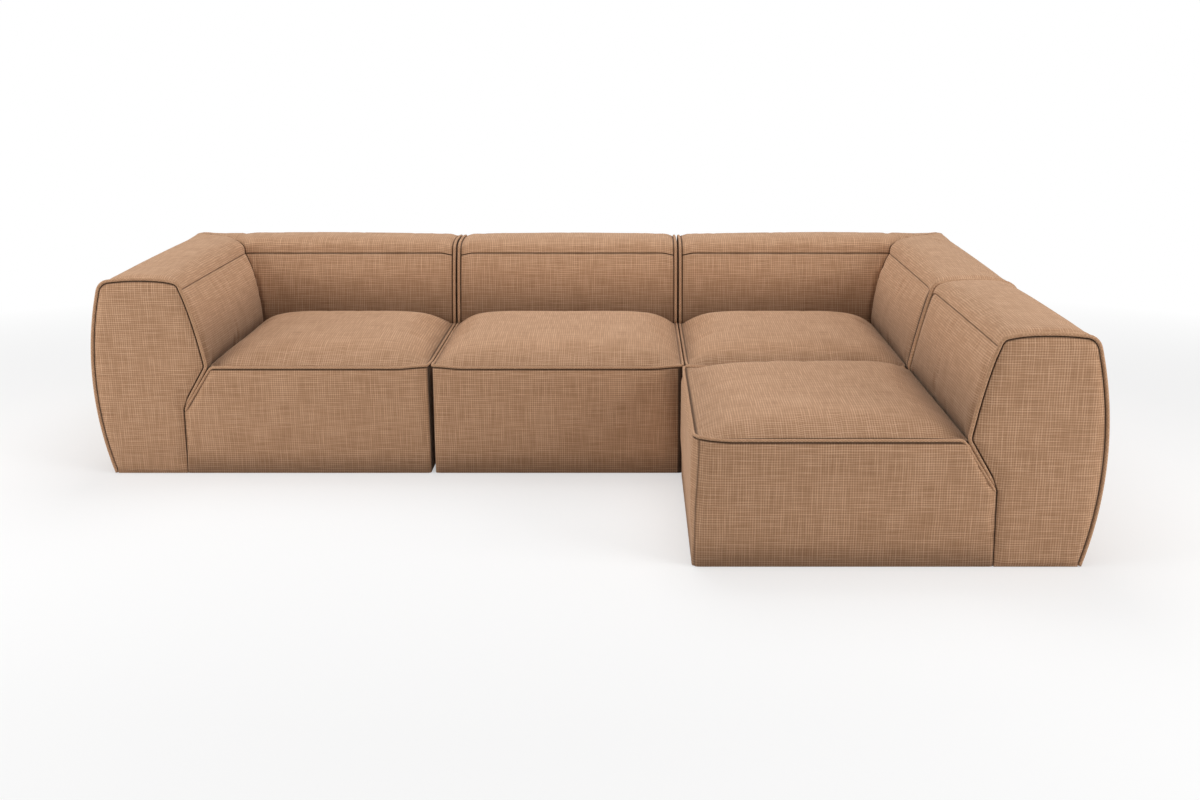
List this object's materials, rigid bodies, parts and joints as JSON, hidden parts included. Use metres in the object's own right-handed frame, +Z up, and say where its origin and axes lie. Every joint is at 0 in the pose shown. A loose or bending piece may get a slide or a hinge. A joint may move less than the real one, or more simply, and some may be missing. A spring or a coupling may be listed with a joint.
{
  "type": "sectional sofa",
  "caption": "Low L-shaped sectional sofa of upholstered units with rounded backs and arms, crowned seats and piped edges, hooked side by side and lifted apart to rearrange.",
  "frame": {"origin": "on the floor, in the middle of the box round the whole L", "axes": "+Z up, -Y to the front of the three units in a row, +X to the viewer's right, where the L returns forward"},
  "size_m": [2.92, 1.8597, 0.6249],
  "materials": {
    "upholstery": "slubby camel weave, matt",
    "piping": "camel weave cut on the bias, matt",
    "timber": "sawn pine and fibreboard, unfinished",
    "spring_steel": "drawn wire, oiled",
    "clip_steel": "zinc-plated sheet",
    "webbing": "elastic strap",
    "foam": "cut polyurethane foam",
    "dust_cloth": "black non-woven cloth",
    "glide_plastic": "moulded, matt",
    "connector_steel": "black powder coat"
  },
  "bodies": {
    "left": {"left_arm_cover": "upholstery", "left_arm_foam": "foam", "left_arm_frame": "timber", "left_back_cover": "upholstery", "left_back_foam": "foam", "left_back_frame": "timber", "left_back_webbing": "webbing", "left_connectors": "connector_steel", "left_dust_cover": "dust_cloth", "left_glides": "glide_plastic", "left_piping": "piping", "left_seat_cover": "upholstery", "left_seat_foam": "foam", "left_seat_frame": "timber", "left_seat_springs": "spring_steel", "left_spring_clips": "clip_steel"},
    "middle": {"middle_back_cover": "upholstery", "middle_back_foam": "foam", "middle_back_frame": "timber", "middle_back_webbing": "webbing", "middle_connectors": "connector_steel", "middle_dust_cover": "dust_cloth", "middle_glides": "glide_plastic", "middle_piping": "piping", "middle_seat_cover": "upholstery", "middle_seat_foam": "foam", "middle_seat_frame": "timber", "middle_seat_springs": "spring_steel", "middle_spring_clips": "clip_steel"},
    "corner": {"corner_arm_cover": "upholstery", "corner_arm_foam": "foam", "corner_arm_frame": "timber", "corner_back_cover": "upholstery", "corner_back_foam": "foam", "corner_back_frame": "timber", "corner_back_webbing": "webbing", "corner_connectors": "connector_steel", "corner_dust_cover": "dust_cloth", "corner_glides": "glide_plastic", "corner_piping": "piping", "corner_seat_cover": "upholstery", "corner_seat_foam": "foam", "corner_seat_frame": "timber", "corner_seat_springs": "spring_steel", "corner_spring_clips": "clip_steel"},
    "return": {"return_back_cover": "upholstery", "return_back_foam": "foam", "return_back_frame": "timber", "return_back_webbing": "webbing", "return_connectors": "connector_steel", "return_dust_cover": "dust_cloth", "return_glides": "glide_plastic", "return_piping": "piping", "return_seat_cover": "upholstery", "return_seat_foam": "foam", "return_seat_frame": "timber", "return_seat_springs": "spring_steel", "return_spring_clips": "clip_steel"}
  },
  "joints": [
    {"name": "middle_lift", "type": "slide", "parent": "corner", "child": "middle", "axis": [0, 0, 1], "range_m": [0, 0.05]},
    {"name": "left_lift", "type": "slide", "parent": "middle", "child": "left", "axis": [0, 0, 1], "range_m": [0, 0.05]},
    {"name": "return_lift", "type": "slide", "parent": "corner", "child": "return", "axis": [0, 0, 1], "range_m": [0, 0.05]}
  ]
}
